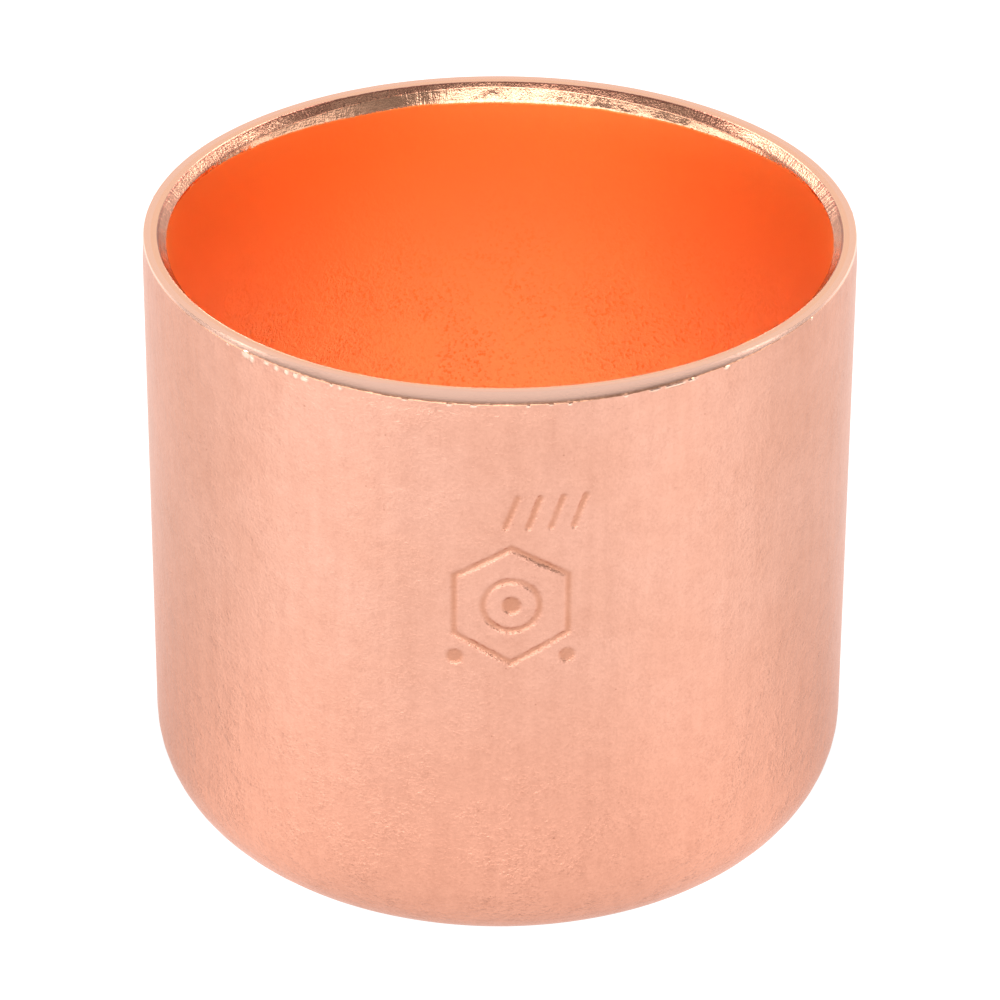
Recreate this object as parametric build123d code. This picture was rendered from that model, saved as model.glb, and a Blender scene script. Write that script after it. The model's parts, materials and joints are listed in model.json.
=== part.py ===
from build123d import *
import os

# Solder-joint end cap for copper tube, drawn from one piece of copper sheet.
# It stands on its closed end: the origin is the centre of the end face, and +Z leaves the open mouth.
# Every size is in millimetres, every angle in degrees.

# Tube that the cap closes: nominal 1 in size, 1-1/8 in outside diameter
tube_diameter = 28.575
solder_gap = 0.0625  # radial gap between the tube and the socket wall

# Drawn copper shell
wall_thickness = 1.05
end_thickness = 1.05
overall_height = 28.1
end_corner_radius = 4.7  # outside, between the end and the side

# Machined rim
lead_in_width = 0.31  # chamfer that guides the tube in, along the radius
lead_in_depth = 0.84
lip_width = 0.23  # rounded outer edge, along the radius
lip_drop = 0.55

# Maker's mark, rolled into the front (-Y) of the side wall
mark_depth = 0.1
mark_line = 0.24
mark_turn = 2.0  # how far round from the front it stands, towards +X
mark_below_rim = 9.9  # from the rim down to the middle of the hexagon
hexagon_width = 5.0  # across flats
ring_radius = 1.3
centre_dot_radius = 0.4
corner_dot_radius = 0.34
corner_dot_spread = 2.35  # sideways from the middle of the hexagon
corner_dot_drop = 2.5  # below the middle of the hexagon
tick_count = 4
tick_height = 1.7
tick_pitch = 0.95
tick_lean = 20.0
tick_rise = 4.4  # above the middle of the hexagon
tick_shift = 1.4  # sideways from the middle of the hexagon

# Worked out from the sizes above
socket_radius = tube_diameter / 2 + solder_gap
outer_radius = socket_radius + wall_thickness
inner_corner_radius = end_corner_radius - wall_thickness
socket_length = overall_height - lead_in_depth - end_thickness - inner_corner_radius
mark_height = overall_height - mark_below_rim


def shell():
    """The drawn cup: its half section, from the axis out along both skins and back, turned about Z."""
    lip_start = overall_height - lip_drop
    lip_edge = outer_radius - lip_width
    lead_in_edge = socket_radius + lead_in_width
    lead_in_start = overall_height - lead_in_depth
    socket_start = lead_in_start - socket_length

    end_face = Line((0, 0), (outer_radius - end_corner_radius, 0))
    end_corner = TangentArc(end_face @ 1, (outer_radius, end_corner_radius), tangent=(1, 0))
    side = Line(end_corner @ 1, (outer_radius, lip_start))
    lip = EllipticalCenterArc((lip_edge, lip_start), lip_width, lip_drop, start_angle=0, arc_size=90)
    land = Line(lip @ 1, (lead_in_edge, overall_height))
    lead_in = Line(land @ 1, (socket_radius, lead_in_start))
    socket_wall = Line(lead_in @ 1, (socket_radius, socket_start))
    inner_corner = TangentArc(
        socket_wall @ 1, (socket_radius - inner_corner_radius, end_thickness), tangent=(0, -1)
    )
    socket_floor = Line(inner_corner @ 1, (0, end_thickness))
    centre_line = Line(socket_floor @ 1, (0, 0))

    outer_skin = [end_face, end_corner, side, lip]
    inner_skin = [lead_in, socket_wall, inner_corner, socket_floor]
    half_section = make_face(Curve() + outer_skin + [land] + inner_skin + [centre_line])
    return revolve(Plane.XZ * half_section, Axis.Z)


def mark_outline():
    """The mark's lines laid out flat: a hexagon round a ring and a dot, two more dots, leaning ticks."""
    hexagon = RegularPolygon(hexagon_width / 2, 6, major_radius=False, rotation=30)
    hexagon -= RegularPolygon(hexagon_width / 2 - mark_line, 6, major_radius=False, rotation=30)
    ring = Circle(ring_radius) - Circle(ring_radius - mark_line)
    outline = hexagon + ring + Circle(centre_dot_radius)

    for side in (-1, 1):
        outline += Pos(side * corner_dot_spread, -corner_dot_drop) * Circle(corner_dot_radius)

    for index in range(tick_count):
        across = tick_shift + (index - (tick_count - 1) / 2) * tick_pitch
        tick = SlotOverall(tick_height, mark_line, rotation=90 - tick_lean)
        outline += Pos(across, tick_rise) * tick
    return outline


def mark_grooves():
    """The mark's lines as deep as the roll presses them, following the round of the side wall."""
    front = Plane(origin=(0, -outer_radius, mark_height), x_dir=(1, 0, 0), z_dir=(0, -1, 0))
    punch = extrude(front * mark_outline(), amount=wall_thickness, both=True)

    pressed_skin = Cylinder(outer_radius + wall_thickness, 2 * overall_height)
    pressed_skin -= Cylinder(outer_radius - mark_depth, 2 * overall_height)
    return Rot(0, 0, mark_turn) * (punch & pressed_skin)


cap_body = shell() - mark_grooves()

os.makedirs("parts", exist_ok=True)
export_step(cap_body, "parts/cap_body.step")
print(f"cap_body volume {cap_body.volume:.2f} mm3, outer radius {outer_radius:.4f} mm")
print(f"socket wall {socket_radius:.4f} mm radius, {socket_length:.3f} mm long")
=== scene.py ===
import bmesh
import bpy
import json
import math
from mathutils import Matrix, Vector, noise

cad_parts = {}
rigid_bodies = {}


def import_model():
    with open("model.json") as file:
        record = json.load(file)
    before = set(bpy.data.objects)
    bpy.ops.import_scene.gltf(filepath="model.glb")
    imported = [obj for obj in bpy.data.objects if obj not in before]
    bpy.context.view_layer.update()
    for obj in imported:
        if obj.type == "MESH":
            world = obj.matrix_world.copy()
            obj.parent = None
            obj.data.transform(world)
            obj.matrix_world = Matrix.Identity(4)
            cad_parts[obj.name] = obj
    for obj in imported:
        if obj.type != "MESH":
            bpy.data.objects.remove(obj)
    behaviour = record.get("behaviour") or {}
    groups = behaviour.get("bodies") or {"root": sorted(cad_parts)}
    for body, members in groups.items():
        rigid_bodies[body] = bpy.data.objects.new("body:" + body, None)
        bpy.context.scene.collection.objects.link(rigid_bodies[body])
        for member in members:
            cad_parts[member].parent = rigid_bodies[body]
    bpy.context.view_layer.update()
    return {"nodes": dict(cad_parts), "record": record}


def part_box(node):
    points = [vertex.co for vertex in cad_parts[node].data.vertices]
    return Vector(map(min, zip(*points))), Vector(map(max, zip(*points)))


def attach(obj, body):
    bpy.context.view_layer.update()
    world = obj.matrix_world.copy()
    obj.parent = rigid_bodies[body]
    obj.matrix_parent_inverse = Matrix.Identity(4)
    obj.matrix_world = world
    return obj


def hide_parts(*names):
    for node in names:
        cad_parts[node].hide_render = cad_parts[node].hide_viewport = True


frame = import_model()
print("frame loaded:", ", ".join(sorted(frame["nodes"])))

mm = 0.001
scene = bpy.context.scene


# shader maths: wraps a node's output, so that materials read as plain expressions
class Wire:
    def __init__(self, tree, socket=None):
        self.tree = tree
        self.socket = socket

    # any node: its type, its settings, then its sockets as values or other wires
    def node(self, nodeType, settings=None, sockets=None, output=0):
        made = self.tree.nodes.new(nodeType)
        for name, value in (settings or {}).items():
            setattr(made, name, value)
        for name, value in (sockets or {}).items():
            if isinstance(value, Wire):
                self.tree.links.new(value.socket, made.inputs[name])
            else:
                made.inputs[name].default_value = value
        return Wire(self.tree, made.outputs[output])

    def math(self, operation, first, second=0.0):
        return self.node("ShaderNodeMath", {"operation": operation}, {0: first, 1: second})

    def __add__(self, other):
        return self.math("ADD", self, other)

    def __radd__(self, other):
        return self.math("ADD", other, self)

    def __sub__(self, other):
        return self.math("SUBTRACT", self, other)

    def __rsub__(self, other):
        return self.math("SUBTRACT", other, self)

    def __mul__(self, other):
        return self.math("MULTIPLY", self, other)

    def __rmul__(self, other):
        return self.math("MULTIPLY", other, self)

    def __truediv__(self, other):
        return self.math("DIVIDE", self, other)

    # a smooth step from 0 at low to 1 at high, or the other way round if low is the larger
    def step(self, low, high):
        settings = {"interpolation_type": "SMOOTHSTEP"}
        return self.node("ShaderNodeMapRange", settings, {"Value": self, "From Min": low, "From Max": high})

    # 1 between low and high, with soft ends that are blur wide
    def window(self, low, high, blur):
        return self.step(low - blur / 2, low + blur / 2) * self.step(high + blur / 2, high - blur / 2)


def mixColours(sheet, factor, first, second):
    return sheet.node("ShaderNodeMix", {"data_type": "RGBA"}, {"Factor": factor, "A": first, "B": second}, 2)


# object coordinates in millimetres, stretched along each axis
def millimetres(sheet, stretch=(1.0, 1.0, 1.0)):
    place = sheet.node("ShaderNodeTexCoord", output="Object")
    scale = tuple(share / mm for share in stretch)
    return sheet.node("ShaderNodeVectorMath", {"operation": "MULTIPLY"}, {0: place, 1: scale})


# noise with features about size millimetres across
def grain(sheet, place, size, detail=2.0, roughness=0.5):
    sockets = {"Vector": place, "Scale": 1.0 / size, "Detail": detail, "Roughness": roughness}
    return sheet.node("ShaderNodeTexNoise", {}, sockets)


def bumped(sheet, height, distance, strength=1.0):
    sockets = {"Strength": strength, "Distance": distance, "Height": height}
    return sheet.node("ShaderNodeBump", {}, sockets, "Normal")


def newMaterial(name):
    material = bpy.data.materials.new(name)
    material.use_nodes = True
    tree = material.node_tree
    tree.nodes.clear()
    shader = tree.nodes.new("ShaderNodeBsdfPrincipled")
    output = tree.nodes.new("ShaderNodeOutputMaterial")
    tree.links.new(shader.outputs["BSDF"], output.inputs["Surface"])
    shader.inputs["Metallic"].default_value = 1.0
    return material, Wire(tree), shader


def join(wire, shader, name):
    wire.tree.links.new(wire.socket, shader.inputs[name])


cap = {
    "node": "cap_body",
    "columns": 360,
    "sharpFrom": math.radians(28.0),
    "cornerRadius": 4.7 * mm,
}

# the facing tool ran a little off centre, so the lip is fuller at the front (-Y) than at the back
rim = {
    "lipWidth": (0.035 * mm, 0.36 * mm),  # at the back, at the front
    "lipDrop": (0.08 * mm, 0.50 * mm),
    "lipWander": 0.035 * mm,
    "lipPower": 1.2,  # 1 would be a flat facet; above that the lip's foot is upright
    "leadInWidth": 0.40 * mm,
    "breakShare": (0.28, 0.96),  # the lead-in's upper part: share of its width at the back, at the sides
    "breakSlope": (1.9, 0.85),  # fall of its upper part for each step inward, at the back, at the sides
    "lowerSlope": 2.2,  # the same for its lower part
    "edgeRound": 0.05 * mm,  # the lead-in's lower edge
    "edgeWander": 0.05 * mm,
    "brushedBand": 1.0 * mm,  # strip under the lip that the tool has brushed
    "brushedStep": 0.04 * mm,
    "frontHalfAngle": math.radians(62.0),  # the part of the lip that gets a finer mesh
    "raggedLip": 0.018 * mm,  # raggedness of the lip's lower edge, of the lead-in's lower edge and
    "raggedLeadIn": 0.03 * mm,  # of the crease between the land and the lead-in
    "raggedCrease": 0.012 * mm,
}

# curled slivers that the facing tool left on the lip: degrees round from the front, millimetres
# below the lip's lower edge, half length, half height and how proud they stand
burrs = [
    (-47.0, 0.05, 0.10, 0.06, 0.02), (-42.8, 0.10, 0.30, 0.17, 0.045), (-41.6, 0.18, 0.14, 0.16, 0.05),
    (-38.6, 0.08, 0.16, 0.08, 0.03), (-36.6, 0.12, 0.13, 0.11, 0.04), (-34.6, 0.12, 0.13, 0.11, 0.04),
    (-32.9, 0.12, 0.15, 0.12, 0.045), (-31.3, 0.14, 0.22, 0.12, 0.045), (-26.5, 0.06, 0.08, 0.07, 0.03),
    (-25.0, 0.08, 0.10, 0.08, 0.03), (-14.5, 0.03, 0.14, 0.05, 0.02), (-7.6, 0.05, 0.13, 0.07, 0.03),
    (-3.9, 0.04, 0.16, 0.07, 0.03), (4.4, 0.05, 0.09, 0.07, 0.03), (7.9, 0.02, 0.10, 0.05, 0.02),
    (10.8, 0.06, 0.10, 0.07, 0.03), (19.6, 0.04, 0.12, 0.08, 0.035), (24.5, 0.05, 0.30, 0.06, 0.03),
    (28.0, 0.07, 0.55, 0.08, 0.045), (31.0, 0.05, 0.28, 0.07, 0.04), (37.5, 0.05, 0.20, 0.08, 0.04),
    (58.0, 0.03, 0.12, 0.06, 0.02), (96.0, 0.04, 0.22, 0.07, 0.03), (141.0, 0.04, 0.16, 0.07, 0.03),
    (187.0, 0.05, 0.26, 0.08, 0.035), (214.0, 0.04, 0.12, 0.07, 0.03), (259.0, 0.04, 0.18, 0.06, 0.03),
]

mark = {
    "depth": 0.1 * mm,
    "line": 0.24 * mm,
    "softEdge": 0.2 * mm,
    "turn": math.radians(2.0),
    "belowRim": 9.9 * mm,
    "hexagonWidth": 5.0 * mm,
    "ringRadius": 1.3 * mm,
    "centreDot": 0.4 * mm,
    "cornerDot": 0.34 * mm,
    "cornerDotSpread": 2.35 * mm,
    "cornerDotDrop": 2.5 * mm,
    "reach": (3.4 * mm, -3.4 * mm, 5.7 * mm),  # sideways, down and up, from the middle of the hexagon
    "ticks": 4,
    "tickHeight": 1.7 * mm,
    "tickPitch": 0.95 * mm,
    "tickLean": math.radians(20.0),
    "tickRise": 4.4 * mm,
    "tickShift": 1.4 * mm,
}

capLow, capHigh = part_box(cap["node"])
outerRadius = capHigh.x
capHeight = capHigh.z
socket = next(mount for mount in frame["record"]["mounts"] if mount["name"] == "tube_socket")
socketRadius = socket["dims"]["r_mm"] * mm
socketTop = socket["pos_m"][2] + socket["dims"]["length_mm"] * mm / 2
socketBottom = socket["pos_m"][2] - socket["dims"]["length_mm"] * mm / 2
wall = outerRadius - socketRadius
innerCorner = cap["cornerRadius"] - wall
endThickness = socketBottom - innerCorner
markHeight = capHeight - mark["belowRim"]


def spread(first, last, steps):
    return [first + (last - first) * index / steps for index in range(1, steps + 1)]


def sway(angle, size, seed):
    # smooth wander round the rim, about size degrees from swell to swell
    turn = 360.0 / size / math.tau
    return noise.noise(Vector((math.cos(angle) * turn, math.sin(angle) * turn, seed)))


def between(ends, share):
    return ends[0] + (ends[1] - ends[0]) * share


# how full the lip is at an angle, from 0 at the back to 1 at the front
def lipFullness(angle, power=6):
    return (0.5 + 0.5 * math.cos(angle)) ** power


# the wall's section at an angle round from the front, from the centre of the end face to the
# centre of the socket's floor: radius, height, and a mark that the finishes read. The mark is
# 0 on the end, 1 on the side, 2 at the lip's foot, 3 on the land, 4 where the lead-in starts,
# 4.4 where it turns steeper, 5 at its lower edge, 6 on the socket wall and 7 on the floor
def wallSection(angle):
    corner = cap["cornerRadius"]
    wander = rim["lipWander"] * sway(angle, 25.0, 3.1) + rim["lipWander"] / 2 * sway(angle, 4.0, 8.7)
    lipDrop = between(rim["lipDrop"], lipFullness(angle)) + wander
    lipWidth = between(rim["lipWidth"], lipFullness(angle, 7)) + wander / 2
    lipStart = capHeight - lipDrop
    lipEdge = outerRadius - rim["brushedStep"] - lipWidth
    leadInEdge = socketRadius + rim["leadInWidth"] * (1.0 + 0.10 * sway(angle, 50.0, 5.2))
    breakWidth = (leadInEdge - socketRadius) * between(rim["breakShare"], abs(math.sin(angle)) ** 1.5)
    breakEdge = leadInEdge - breakWidth
    breakSlope = between(rim["breakSlope"], math.sin(angle) ** 4) * (1.0 + 0.2 * sway(angle, 30.0, 6.6))
    breakHeight = capHeight - breakWidth * breakSlope
    leadInEnd = breakHeight - (breakEdge - socketRadius) * rim["lowerSlope"]
    leadInEnd += rim["edgeWander"] * sway(angle, 6.0, 1.4)

    section = [(radius, 0.0, 0.0) for radius in spread(0.0, outerRadius - corner, 8)]
    for turn in spread(-90.0, 0.0, 14):
        across = outerRadius - corner + corner * math.cos(math.radians(turn))
        section.append((across, corner + corner * math.sin(math.radians(turn)), 1.0))
    bandStart = capHeight - rim["brushedBand"]
    section += [(outerRadius, height, 1.0) for height in spread(corner, bandStart, 26)]
    for share in spread(0.0, 1.0, 6):
        across = outerRadius - rim["brushedStep"] * share * (2.0 - share)
        section.append((across, bandStart + (lipStart - bandStart) * share, 1.0 + share))
    for share in spread(0.0, 1.0, 10):
        across = lipEdge + lipWidth * (1.0 - share ** rim["lipPower"])
        section.append((across, lipStart + lipDrop * share, 2.0 + share))
    section += [(radius, capHeight, 3.0) for radius in spread(lipEdge, leadInEdge, 2)]
    section[-1] = (leadInEdge, capHeight, 4.0)
    for share in spread(0.0, 1.0, 4):
        across = leadInEdge + (breakEdge - leadInEdge) * share
        section.append((across, capHeight + (breakHeight - capHeight) * share, 4.0 + share * 0.4))
    for share in spread(0.0, 1.0, 5):
        across = breakEdge + (socketRadius + rim["edgeRound"] / 4 - breakEdge) * share
        section.append((across, breakHeight + (leadInEnd - breakHeight) * share, 4.4 + share * 0.6))
    section.append((socketRadius, leadInEnd - rim["edgeRound"] * 2, 5.5))
    section += [(socketRadius, height, 6.0) for height in spread(socketTop - 0.3 * mm, socketBottom, 16)]
    for turn in spread(0.0, 90.0, 10):
        across = socketRadius - innerCorner + innerCorner * math.cos(math.radians(turn))
        section.append((across, socketBottom - innerCorner * math.sin(math.radians(turn)), 7.0))
    section += [(radius, endThickness, 7.0) for radius in spread(socketRadius - innerCorner, 0.0, 8)]
    return section[:-1]


def turnedMesh():
    mesh = bmesh.new()
    along = mesh.verts.layers.float.new("along")
    columns = cap["columns"]
    endCentre = mesh.verts.new((0.0, 0.0, 0.0))
    floorCentre = mesh.verts.new((0.0, 0.0, endThickness))
    floorCentre[along] = 7.0
    grid = []
    for index in range(columns):
        angle = math.tau * index / columns
        column = []
        for radius, height, share in wallSection(angle):
            vert = mesh.verts.new((radius * math.sin(angle), -radius * math.cos(angle), height))
            vert[along] = share
            column.append(vert)
        grid.append(column)
    for index, column in enumerate(grid):
        nextColumn = grid[(index + 1) % columns]
        mesh.faces.new((endCentre, column[0], nextColumn[0]))
        for level in range(len(column) - 1):
            mesh.faces.new((column[level], column[level + 1], nextColumn[level + 1], nextColumn[level]))
        mesh.faces.new((floorCentre, nextColumn[-1], column[-1]))
    bmesh.ops.recalc_face_normals(mesh, faces=mesh.faces)
    return mesh


def frontAngle(place):
    return math.atan2(place.x, -place.y)


def anyEdge(edge):
    return True


def runsUp(edge):
    return abs(edge.verts[0].co.z - edge.verts[1].co.z) > edge.calc_length() / 2


def runsRound(edge):
    return abs(frontAngle(edge.verts[0].co) - frontAngle(edge.verts[1].co)) > math.pi / cap["columns"]


# cuts the chosen edges of the faces in one region
def refine(mesh, wanted, cuts, chosen=anyEdge):
    region = [face for face in mesh.faces if wanted(face.calc_center_median())]
    edges = {edge for face in region for edge in face.edges if chosen(edge)}
    bmesh.ops.subdivide_edges(mesh, edges=list(edges), cuts=cuts, use_grid_fill=True)


def inMark(place):
    across = outerRadius * (frontAngle(place) - mark["turn"])
    up = place.z - markHeight
    outside = math.hypot(place.x, place.y) > outerRadius - wall / 2
    sideways, lowest, highest = mark["reach"]
    return outside and abs(across) < sideways and lowest < up < highest


def inRim(place):
    return place.z > socketTop - 0.2 * mm


def inFrontLip(place):
    outside = math.hypot(place.x, place.y) > outerRadius - 0.3 * mm
    high = place.z > capHeight - rim["brushedBand"]
    return outside and high and abs(frontAngle(place)) < rim["frontHalfAngle"]


# how deep the roll pressed the mark at a point of its flat layout, from 0 to 1
def markShape(across, up):
    half = mark["line"] / 2
    centreLine = mark["hexagonWidth"] / 2 - half
    turns = (0.0, math.pi / 3, -math.pi / 3)
    reach = max(abs(across * math.cos(turn) + up * math.sin(turn)) for turn in turns)
    away = [abs(reach - centreLine) - half]
    away.append(abs(math.hypot(across, up) - mark["ringRadius"] + half) - half)
    away.append(math.hypot(across, up) - mark["centreDot"])
    aside = abs(across) - mark["cornerDotSpread"]
    away.append(math.hypot(aside, up + mark["cornerDotDrop"]) - mark["cornerDot"])
    stroke = mark["tickHeight"] / 2 - half
    leanX = math.sin(mark["tickLean"])
    leanY = math.cos(mark["tickLean"])
    for index in range(mark["ticks"]):
        x = across - mark["tickShift"] - (index - (mark["ticks"] - 1) / 2) * mark["tickPitch"]
        y = up - mark["tickRise"]
        along = max(-stroke, min(stroke, x * leanX + y * leanY))
        away.append(math.hypot(x - along * leanX, y - along * leanY) - half)
    share = max(0.0, min(1.0, 0.5 - min(away) / mark["softEdge"]))
    return share * share * (3 - 2 * share)


def pressMark(mesh):
    pressed = mesh.verts.layers.float.new("pressed")
    for vert in mesh.verts:
        if inMark(vert.co):
            angle = frontAngle(vert.co) - mark["turn"]
            share = markShape(outerRadius * math.sin(angle), vert.co.z - markHeight)
            uneven = 0.8 + 0.3 * noise.noise(vert.co / (0.9 * mm))
            outward = Vector((vert.co.x, vert.co.y, 0.0)).normalized()
            vert.co -= outward * mark["depth"] * share * uneven
            vert[pressed] = share * uneven


# the burrs stand out of the brushed band, up to the wall's own radius
def raiseBurrs(mesh):
    along = mesh.verts.layers.float["along"]
    burr = mesh.verts.layers.float.new("burr")
    for vert in mesh.verts:
        if not 1.02 < vert[along] < 3.0:
            continue
        angle = frontAngle(vert.co)
        lipStart = capHeight - between(rim["lipDrop"], lipFullness(angle))
        outward = Vector((math.sin(angle), -math.cos(angle), 0.0))
        for turn, below, halfLength, halfHeight, proud in burrs:
            away = (angle - math.radians(turn) + math.pi) % math.tau - math.pi
            aside = outerRadius * away / (halfLength * mm)
            up = (vert.co.z - lipStart + below * mm) / (halfHeight * mm)
            reach = 1.0 - aside * aside - up * up
            if reach > 0.0:
                vert.co += outward * proud * mm * math.sqrt(reach)
                vert[burr] = max(vert[burr], math.sqrt(reach))
        furthest = outerRadius / math.hypot(vert.co.x, vert.co.y)
        if furthest < 1.0:
            vert.co.x *= furthest
            vert.co.y *= furthest


# fine raggedness of the two machined edges
def roughenEdges(mesh):
    along = mesh.verts.layers.float["along"]
    for vert in mesh.verts:
        lower = max(0.0, 1.0 - abs(vert[along] - 2.0) / 0.25)
        inner = max(0.0, 1.0 - abs(vert[along] - 5.0) / 0.3)
        crease = max(0.0, 1.0 - abs(vert[along] - 4.0) / 0.12)
        if lower + inner + crease > 0.0:
            ragged = noise.noise(vert.co / (0.16 * mm)) + 0.6 * noise.noise(vert.co / (0.5 * mm))
            vert.co.z += (rim["raggedLip"] * lower + rim["raggedLeadIn"] * inner) * ragged
            vert.co.z -= rim["raggedCrease"] * crease * abs(ragged)


def makeCap():
    mesh = turnedMesh()
    refine(mesh, inMark, 2, runsUp)
    refine(mesh, inMark, 3)
    refine(mesh, inRim, 2, runsRound)
    refine(mesh, inFrontLip, 1)
    pressMark(mesh)
    raiseBurrs(mesh)
    roughenEdges(mesh)
    mesh.normal_update()
    along = mesh.verts.layers.float["along"]
    for face in mesh.faces:
        middle = sum(vert[along] for vert in face.verts) / len(face.verts)
        upright = middle > 4.4 and abs(face.normal.z) < 0.08
        if middle < 2.0:
            face.material_index = 0  # drawn
        elif upright or middle > 5.2:
            face.material_index = 2  # socket
        else:
            face.material_index = 1  # machined
    data = bpy.data.meshes.new("capBody")
    mesh.to_mesh(data)
    print("cap body:", len(mesh.faces), "faces", sum(len(face.verts) - 2 for face in mesh.faces), "triangles")
    mesh.free()
    data.shade_smooth()
    data.set_sharp_from_angle(angle=cap["sharpFrom"])
    piece = bpy.data.objects.new("capBody", data)
    scene.collection.objects.link(piece)
    return piece


drawnFinish = {
    "copper": (0.745, 0.384, 0.279, 1.0),
    "paler": (0.775, 0.412, 0.307, 1.0),
    "redder": (0.800, 0.378, 0.262, 1.0),
    "darker": (0.36, 0.125, 0.075, 1.0),
    "pressedDarker": (0.47, 0.175, 0.085, 1.0),
    "burnished": (0.97, 0.66, 0.52, 1.0),
    "grazing": (0.86, 0.79, 0.76, 1.0),
    "roughness": 0.30,
    "fineGrain": 0.13,  # sizes in millimetres
    "coarseGrain": 0.32,
    "mottle": 0.7,
    "clusters": 1.6,
    "patches": 3.5,
    "drawLines": 0.5,
    "pitShade": 0.28,  # how much each darkens the copper, from 0 to 1
    "pinholeShade": 0.4,
    "evenShade": 0.08,
    "mottleShade": 0.3,
    "lineShade": 0.2,
    "pressedShade": 0.65,
    "relief": 0.05 * mm,
}


def drawnCopper():
    material, sheet, shader = newMaterial("drawnCopper")
    place = millimetres(sheet)
    height = sheet.node("ShaderNodeSeparateXYZ", {}, {0: place}, "Z")
    fine = grain(sheet, place, drawnFinish["fineGrain"], 2.0, 0.6)
    coarse = grain(sheet, place, drawnFinish["coarseGrain"], 2.0, 0.6)
    mottle = grain(sheet, place, drawnFinish["mottle"], 3.0, 0.6)
    clusters = grain(sheet, place, drawnFinish["clusters"], 3.0, 0.6)
    patches = grain(sheet, place, drawnFinish["patches"], 2.0)
    drawLines = grain(sheet, millimetres(sheet, (1.0, 1.0, 0.08)), drawnFinish["drawLines"], 2.0)
    colour = mixColours(sheet, patches.step(0.3, 0.7), drawnFinish["copper"], drawnFinish["paler"])
    colour = mixColours(sheet, height.step(19.0, 4.0), colour, drawnFinish["redder"])

    # the grain is coarser towards the drawn corner, and stands in clusters. Its extra pits there also darken
    # the corner's colour: partly real grain, partly painted shade for the dim floor close by that the corner
    # reflects
    wornAndShaded = 0.4 + 0.6 * height.step(15.0, 3.0)
    wornAndShaded = wornAndShaded * (0.5 + 0.9 * clusters.step(0.4, 0.68))
    pits = (fine * 0.6 + coarse * 0.4).step(0.48, 0.30) * wornAndShaded
    cells = sheet.node("ShaderNodeTexVoronoi", {}, {"Vector": place, "Scale": 0.9}, "Distance")
    pinholes = (cells + fine * 0.06).step(0.085, 0.05) * clusters.step(0.40, 0.5)
    pressed = sheet.node("ShaderNodeAttribute", {"attribute_name": "pressed"}, {}, "Fac")
    dark = pits * drawnFinish["pitShade"] + pinholes * drawnFinish["pinholeShade"]
    dark = dark + drawnFinish["evenShade"] + (mottle - 0.5) * drawnFinish["mottleShade"]
    dark = dark + (drawLines - 0.5) * drawnFinish["lineShade"] + (fine - 0.5) * (0.25 + 0.65 * wornAndShaded)
    colour = mixColours(sheet, dark, colour, drawnFinish["darker"])
    # the pressed mark is coloured darker than the wall round it
    colour = mixColours(sheet, pressed * drawnFinish["pressedShade"], colour, drawnFinish["pressedDarker"])
    burr = sheet.node("ShaderNodeAttribute", {"attribute_name": "burr"}, {}, "Fac")
    colour = mixColours(sheet, burr, colour, drawnFinish["burnished"])
    join(colour, shader, "Base Color")
    roughness = drawnFinish["roughness"] + 0.08 * (patches - 0.5) - 0.16 * burr
    join(roughness, shader, "Roughness")
    relief = (fine + coarse) * (0.4 + 0.6 * wornAndShaded) + clusters * 0.5
    join(bumped(sheet, relief, drawnFinish["relief"]), shader, "Normal")
    shader.inputs["Specular Tint"].default_value = drawnFinish["grazing"]
    return material


rimFinish = {
    "copper": (0.985, 0.53, 0.34, 1.0),
    "lip": (0.98, 0.60, 0.47, 1.0),
    # dark brown: the lead-in's real specks, and painted dark reflection on its upper part, on the crease and
    # on the lip's foot
    "specksAndDarkReflection": (0.38, 0.15, 0.10, 1.0),
    "lipRoughness": 0.26,
    "landRoughness": 0.22,
    "leadInRoughness": 0.12,
    "upperRoughness": 0.06,  # added on the lead-in's upper part
    "fineGrain": 0.09,  # sizes in millimetres
    "chatter": 0.16,
    "runs": 2.6,
    "relief": 0.015 * mm,
}


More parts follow.
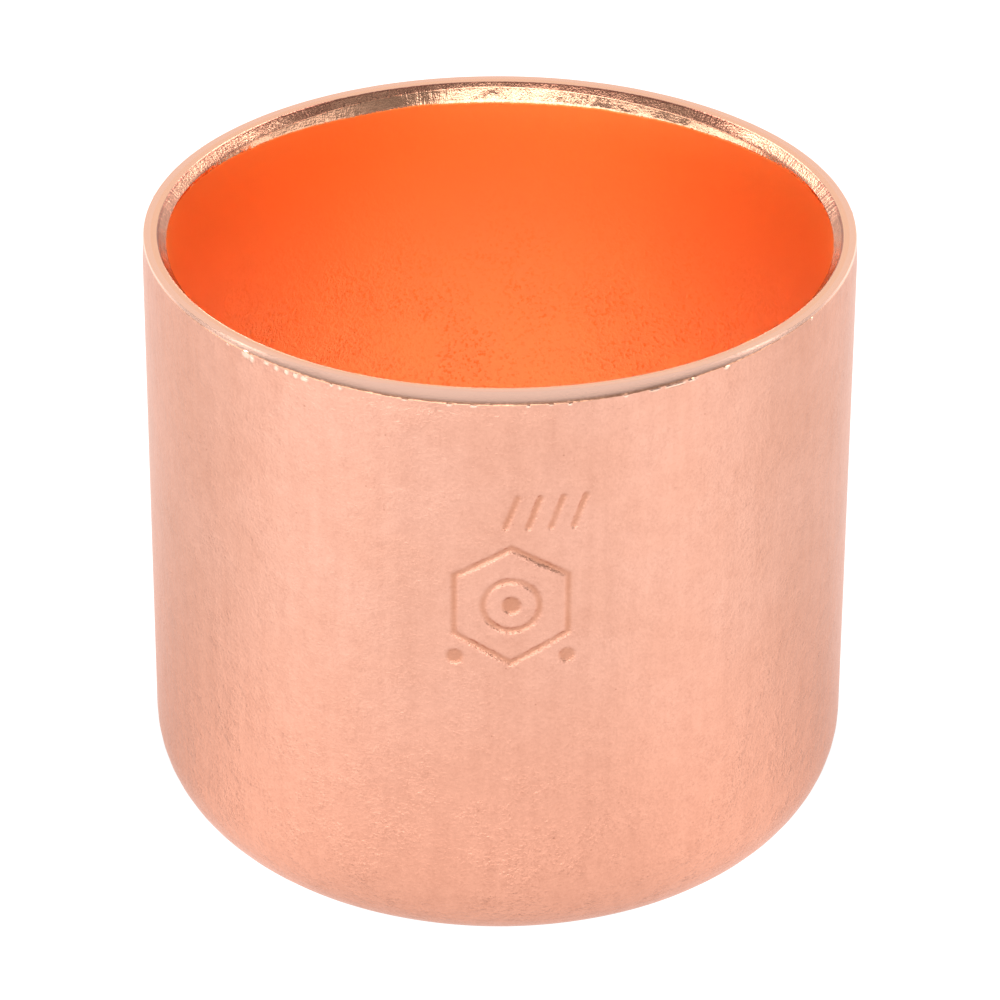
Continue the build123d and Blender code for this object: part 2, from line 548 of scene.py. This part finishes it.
def machinedCopper():
    material, sheet, shader = newMaterial("machinedCopper")
    place = millimetres(sheet)
    flat = sheet.node("ShaderNodeVectorMath", {"operation": "MULTIPLY"}, {0: place, 1: (1.0, 1.0, 0.0)})
    outward = sheet.node("ShaderNodeVectorMath", {"operation": "NORMALIZE"}, {0: flat})
    rimScale = (15.0, 15.0, 15.0)  # about the rim's radius, so that chatter keeps its size round it
    roundRim = sheet.node("ShaderNodeVectorMath", {"operation": "MULTIPLY"}, {0: outward, 1: rimScale})
    height = sheet.node("ShaderNodeSeparateXYZ", {}, {0: place}, "Z")
    slant = sheet.node("ShaderNodeCombineXYZ", {}, {"Z": height * 0.15})
    chatterPlace = sheet.node("ShaderNodeVectorMath", {"operation": "ADD"}, {0: roundRim, 1: slant})
    chatter = grain(sheet, chatterPlace, rimFinish["chatter"], 2.0, 0.6)
    runs = grain(sheet, place, rimFinish["runs"], 2.0)
    fine = grain(sheet, place, rimFinish["fineGrain"], 2.0, 0.6)
    along = sheet.node("ShaderNodeAttribute", {"attribute_name": "along"}, {}, "Fac")
    leadIn = along.step(3.95, 4.05)
    upperPart = along.window(4.0, 4.4, 0.05)
    crease = along.window(3.93, 4.07, 0.08)
    lipFoot = along.window(1.8, 2.25, 0.35)
    # painted dark reflection on the lead-in's upper part, on the crease between land and lead-in and on the
    # lip's foot, where they would mirror the dark doorway; the lead-in's lower edge is coloured darker too,
    # and the specks are the metal's own
    specks = fine.step(0.45, 0.30)
    dark = specks * (0.05 + 0.4 * upperPart + 0.25 * leadIn) + upperPart * (0.45 + 0.25 * runs.step(0.4, 0.6))
    dark = dark + (crease * 0.7 + along.window(4.93, 5.2, 0.1) * 0.6) * fine.step(0.3, 0.6)
    dark = dark + lipFoot * (0.2 + 0.35 * fine.step(0.35, 0.6))
    colour = mixColours(sheet, along.window(2.2, 3.0, 0.2), rimFinish["copper"], rimFinish["lip"])
    colour = mixColours(sheet, dark, colour, rimFinish["specksAndDarkReflection"])
    join(colour, shader, "Base Color")
    toLand = rimFinish["landRoughness"] - rimFinish["lipRoughness"]
    toLeadIn = rimFinish["leadInRoughness"] - rimFinish["landRoughness"]
    roughness = rimFinish["lipRoughness"] + along.step(2.8, 3.0) * toLand + leadIn * toLeadIn
    join(roughness + rimFinish["upperRoughness"] * upperPart, shader, "Roughness")
    relief = fine * (0.3 + 0.9 * upperPart + 0.5 * leadIn)
    relief = relief + chatter * leadIn * (0.3 + 2.5 * runs.step(0.43, 0.58))
    join(bumped(sheet, relief, rimFinish["relief"], 0.6), shader, "Normal")
    return material


socketFinish = {
    # painted reflection: a saturated orange towards the socket's open end, standing in for light bounced
    # round inside the cup
    "mouth": (0.985, 0.38, 0.11, 1.0),
    "copper": (0.985, 0.62, 0.40, 1.0),
    "darker": (0.85, 0.24, 0.07, 1.0),
    "grazing": (1.0, 0.40, 0.20, 1.0),
    "roughness": 0.43,
    "peel": 0.18,  # sizes in millimetres
    "patches": 2.5,
    "relief": 0.11 * mm,
}


def socketCopper():
    material, sheet, shader = newMaterial("socketCopper")
    place = millimetres(sheet)
    height = sheet.node("ShaderNodeSeparateXYZ", {}, {0: place}, "Z")
    peel = grain(sheet, place, socketFinish["peel"], 2.0, 0.6)
    patches = grain(sheet, place, socketFinish["patches"], 2.0)
    deep = height.step(25.0, 14.0) * (0.4 + 0.6 * patches.step(0.35, 0.65))
    pits = peel.step(0.50, 0.32) * deep
    # painted reflection: towards the open end the colour turns to the saturated orange of bounced light
    colour = mixColours(sheet, height.step(13.0, 27.0), socketFinish["copper"], socketFinish["mouth"])
    colour = mixColours(sheet, pits * 0.6, colour, socketFinish["darker"])
    join(colour, shader, "Base Color")
    join(socketFinish["roughness"] + 0.05 * peel, shader, "Roughness")
    join(bumped(sheet, peel * (0.08 + 0.92 * deep), socketFinish["relief"]), shader, "Normal")
    # the orange grazing tint is painted reflection too, standing in for light bounced round inside the cup at
    # the socket's sides
    shader.inputs["Specular Tint"].default_value = socketFinish["grazing"]
    return material


capBody = makeCap()
for finish in (drawnCopper(), machinedCopper(), socketCopper()):
    capBody.data.materials.append(finish)
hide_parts(cap["node"])
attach(capBody, "root")
print("finishes on")


studio = {
    "floorSize": 6.0,
    "floorDrop": 0.02 * mm,  # a hair below the cap's end face
    "floorColour": (0.03, 0.03, 0.03, 1.0),
    "floorGlow": 1.08,  # the floor is a light table
    "glowFar": 0.1,  # how much more it glows away from the cap
    "glowNear": 16.0,  # distances in millimetres
    "glowAway": 60.0,
    "evenWithin": 4.0,  # under the cap the floor glows evenly
    "bandsFrom": 10.0,
    "brightBands": 0.16,  # spokes of the floor that glow more, in degrees round from the front
    "brightFrom": 36.0,
    "brightTo": 68.0,
    "dimBands": 0.12,  # and less
    "dimFrom": 84.0,
    "dimTo": 112.0,
    "bandBlur": 24.0,
    "backdrop": 1.35,  # seen only directly, so that no horizon shows
    "tent": 1.1,
    "ceiling": 2.2,  # behind the cap
    "ceilingFrom": 44.0,  # degrees above the horizon
    "sinking": 0.15,  # how the doorway and the gaps sink towards the sides, in degrees a degree
    "doorway": 0.28,  # the dark opening that the camera looks in through
    "sill": 0.55,  # its lowest part
    "sillTop": 16.0,
    "doorHalfAngle": 85.0,
    "doorTop": 42.0,
    "lowDoorHalfAngle": 112.0,
    "lowDoorTop": 33.0,
    "sideLights": 11.0,
    "sideFrom": 90.0,  # degrees round from the front
    "sideTo": 146.0,
    "sideLow": 26.0,
    "sideHigh": 66.0,
    "glint": 4.2,  # bright gap in the doorway, with weaker ones to its left and right
    "glintFrom": -40.0,
    "glintTo": 23.0,
    "glintLow": 6.0,
    "glintHigh": 23.0,
    "gapEnd": 98.0,
    "leftGap": 3.0,
    "rightGap": 1.9,
    "rightGapFrom": 56.0,
}


def makeFloor():
    mesh = bmesh.new()
    bmesh.ops.create_grid(mesh, x_segments=4, y_segments=4, size=studio["floorSize"] / 2)
    data = bpy.data.meshes.new("studioFloor")
    mesh.to_mesh(data)
    mesh.free()
    floor = bpy.data.objects.new("studioFloor", data)
    floor.location.z = -studio["floorDrop"]
    scene.collection.objects.link(floor)
    material, sheet, shader = newMaterial("paleFloor")
    place = millimetres(sheet)
    parts = sheet.node("ShaderNodeSeparateXYZ", {}, {0: place}).socket.node.outputs
    x, y = (Wire(sheet.tree, parts[name]) for name in "XY")
    turn = sheet.math("ARCTAN2", x, 0.0 - y) * math.degrees(1.0)
    around = sheet.math("ABSOLUTE", turn)
    away = sheet.node("ShaderNodeVectorMath", {"operation": "LENGTH"}, {0: place}, "Value")
    blur = studio["bandBlur"]
    glow = 1.0 + studio["glowFar"] * away.step(studio["glowNear"], studio["glowAway"])
    bands = studio["brightBands"] * around.window(studio["brightFrom"], studio["brightTo"], blur)
    bands = bands - studio["dimBands"] * around.window(studio["dimFrom"], studio["dimTo"], blur)
    glow = glow + bands * away.step(studio["evenWithin"], studio["bandsFrom"])
    colour = mixColours(sheet, glow / 2.0, (0.0, 0.0, 0.0, 1.0), (1.0, 1.0, 1.0, 1.0))
    join(colour, shader, "Emission Color")
    shader.inputs["Emission Strength"].default_value = studio["floorGlow"] * 2.0
    shader.inputs["Metallic"].default_value = 0.0
    shader.inputs["Base Color"].default_value = studio["floorColour"]
    shader.inputs["Roughness"].default_value = 0.9
    shader.inputs["Specular IOR Level"].default_value = 0.1

    # clear from below, so that the end face can be looked at
    output = shader.outputs["BSDF"].links[0].to_node
    clear = sheet.node("ShaderNodeBsdfTransparent")
    under = sheet.node("ShaderNodeNewGeometry", output="Backfacing")
    lit = Wire(sheet.tree, shader.outputs["BSDF"])
    surface = sheet.node("ShaderNodeMixShader", {}, {0: under, 1: lit, 2: clear})
    sheet.tree.links.new(surface.socket, output.inputs["Surface"])
    data.materials.append(material)


def makeTent():
    world = bpy.data.worlds.new("lightTent")
    world.use_nodes = True
    tree = world.node_tree
    tree.nodes.clear()
    sheet = Wire(tree)
    toward = sheet.node("ShaderNodeTexCoord", output="Generated")
    split = sheet.node("ShaderNodeSeparateXYZ", {}, {0: toward})
    parts = split.socket.node.outputs
    x, y, z = (Wire(tree, parts[name]) for name in "XYZ")
    turn = sheet.math("ARCTAN2", x, 0.0 - y) * math.degrees(1.0)
    rise = sheet.math("ARCSINE", z) * math.degrees(1.0)
    around = sheet.math("ABSOLUTE", turn)
    level = rise + studio["sinking"] * around
    door = around.step(studio["doorHalfAngle"] + 10.0, studio["doorHalfAngle"] - 10.0)
    door = door * level.window(-10.0, studio["doorTop"], 12.0)
    lowDoor = around.step(studio["lowDoorHalfAngle"] + 5.0, studio["lowDoorHalfAngle"] - 5.0)
    lowDoor = lowDoor * level.window(-10.0, studio["lowDoorTop"], 6.0)
    door = sheet.math("MAXIMUM", door, lowDoor)
    glint = turn.window(studio["glintFrom"], studio["glintTo"], 10.0)
    gap = level.window(studio["glintLow"], studio["glintHigh"], 4.0)
    glint = glint * gap
    leftGap = turn.window(-studio["gapEnd"], studio["glintFrom"], 6.0) * gap
    rightGap = turn.window(studio["rightGapFrom"], studio["gapEnd"], 10.0) * gap
    ceiling = rise.window(studio["ceilingFrom"], 84.0, 12.0) * around.step(80.0, 110.0)
    light = studio["tent"] + ceiling * (studio["ceiling"] - studio["tent"])
    sill = rise.step(studio["sillTop"] + 3.0, studio["sillTop"] - 3.0)
    dark = studio["doorway"] + sill * (studio["sill"] - studio["doorway"])
    light = light + door * (dark - light)
    light = light + glint * (studio["glint"] - light)
    light = light + leftGap * (studio["leftGap"] - light)
    light = light + rightGap * (studio["rightGap"] - light)
    sides = around.window(studio["sideFrom"], studio["sideTo"], 10.0)
    sides = sides * rise.window(studio["sideLow"], studio["sideHigh"], 8.0)
    light = light + sides * (studio["sideLights"] - light)
    seen = sheet.node("ShaderNodeLightPath", output="Is Camera Ray")
    light = light + seen * (studio["backdrop"] - light)
    background = sheet.node("ShaderNodeBackground", {}, {"Strength": light})
    output = tree.nodes.new("ShaderNodeOutputWorld")
    tree.links.new(background.socket, output.inputs["Surface"])
    scene.world = world


makeFloor()
makeTent()
print("studio lit")


view = {
    "elevation": math.radians(29.5),
    "distance": 14.93,  # in cap radii
    "aimHeight": 0.5175,  # share of the cap's height
    "lens": 186.6,
    "roll": math.radians(0.26),
    "shift": 0.0012,
}


def makeCamera():
    data = bpy.data.cameras.new("camera")
    data.lens = view["lens"]
    data.sensor_width = 36.0
    data.shift_x = view["shift"]
    data.clip_start = 0.01
    data.clip_end = 20.0
    camera = bpy.data.objects.new("camera", data)
    back = Vector((0.0, -math.cos(view["elevation"]), math.sin(view["elevation"])))
    aim = Vector((0.0, 0.0, view["aimHeight"] * capHeight))
    camera.location = aim + back * view["distance"] * outerRadius
    turn = (-back).to_track_quat("-Z", "Y").to_matrix().to_4x4()
    turn.translation = camera.location
    camera.matrix_world = turn
    camera.rotation_euler.rotate_axis("Z", view["roll"])
    scene.collection.objects.link(camera)
    scene.camera = camera


makeCamera()
scene.view_settings.view_transform = "Standard"
print("camera set")
